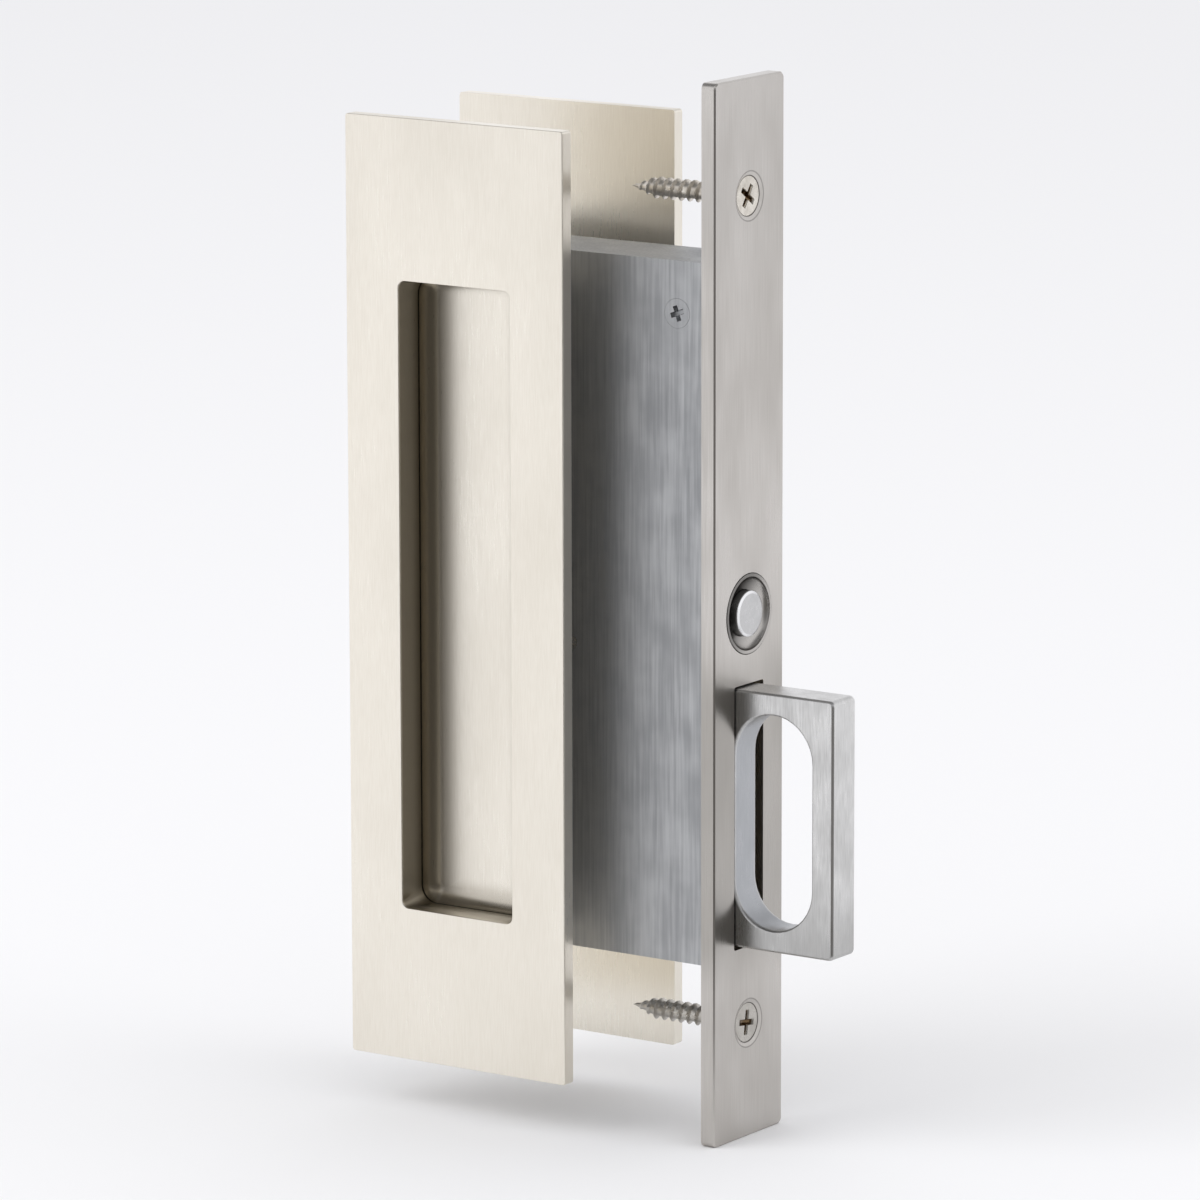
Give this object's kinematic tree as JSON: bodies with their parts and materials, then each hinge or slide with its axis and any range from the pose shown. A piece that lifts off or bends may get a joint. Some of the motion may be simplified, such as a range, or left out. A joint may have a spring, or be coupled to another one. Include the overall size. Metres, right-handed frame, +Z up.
{
  "type": "pocket door mortise lock",
  "caption": "Pocket door mortise lock: edge faceplate with a push button and a sprung finger pull that slides out of a slot, and recessed flush plates joined through the door.",
  "frame": {"origin": "centre of the faceplate's back face, where it seats in the door's edge", "axes": "+X out of the door's edge, -Y to the front of the door, +Z up"},
  "size_m": [0.1005, 0.0406, 0.2032],
  "materials": {
    "satin_nickel": "satin nickel plate on brass, brushed upright",
    "satin_steel": "satin stainless steel, finely brushed",
    "pull_steel": "cast stainless steel, brushed faces",
    "button_steel": "turned stainless steel",
    "screw_steel": "nickel-plated steel",
    "zinc_steel": "zinc-plated sheet steel",
    "bright_steel": "bright drawn steel",
    "spring_steel": "oil-tempered spring steel",
    "plain_brass": "machined brass"
  },
  "bodies": {
    "lock": {"faceplate": "satin_steel", "faceplate_screws": "screw_steel", "button_bezel": "satin_steel", "bezel_nut": "plain_brass", "button_spring": "spring_steel", "pull_spring_upper": "spring_steel", "pull_spring_lower": "spring_steel", "spring_abutment": "zinc_steel", "spring_guide_rods": "bright_steel", "lever_pivot_pin": "bright_steel", "lever_spring": "spring_steel", "case_body": "zinc_steel", "case_cover": "zinc_steel", "cover_pillars": "bright_steel", "cover_screws": "zinc_steel", "front_plate": "satin_nickel", "front_cup": "satin_nickel", "front_posts": "plain_brass", "rear_plate": "satin_nickel", "rear_cup": "satin_nickel", "through_screws": "screw_steel"},
    "pull": {"edge_pull": "pull_steel", "pull_carriage": "plain_brass", "carriage_pins": "bright_steel", "catch_leaf": "spring_steel"},
    "button": {"push_button": "button_steel", "button_clip": "spring_steel"},
    "lever": {"release_lever": "bright_steel"}
  },
  "joints": [
    {"name": "pull_slide", "type": "slide", "parent": "lock", "child": "pull", "axis": [1, 0, 0], "range_m": [-0.022, 0], "stiffness_N_per_m": 100, "springref_m": 0.02, "deforming": ["pull_spring_upper", "pull_spring_lower", "catch_leaf"]},
    {"name": "button_press", "type": "slide", "parent": "lock", "child": "button", "axis": [1, 0, 0], "range_m": [-0.002, 0], "stiffness_N_per_m": 600, "springref_m": 0.002, "deforming": ["button_spring"]},
    {"name": "lever_pivot", "type": "hinge", "parent": "lock", "child": "lever", "pos_m": [-0.0324, 0, -0.008], "axis": [0, -1, 0], "range_deg": [0, 14.5], "deforming": ["lever_spring"]}
  ],
  "couplings": [
    {"joint": "lever_pivot", "follows": "button_press", "rad_per_m": -125}
  ]
}
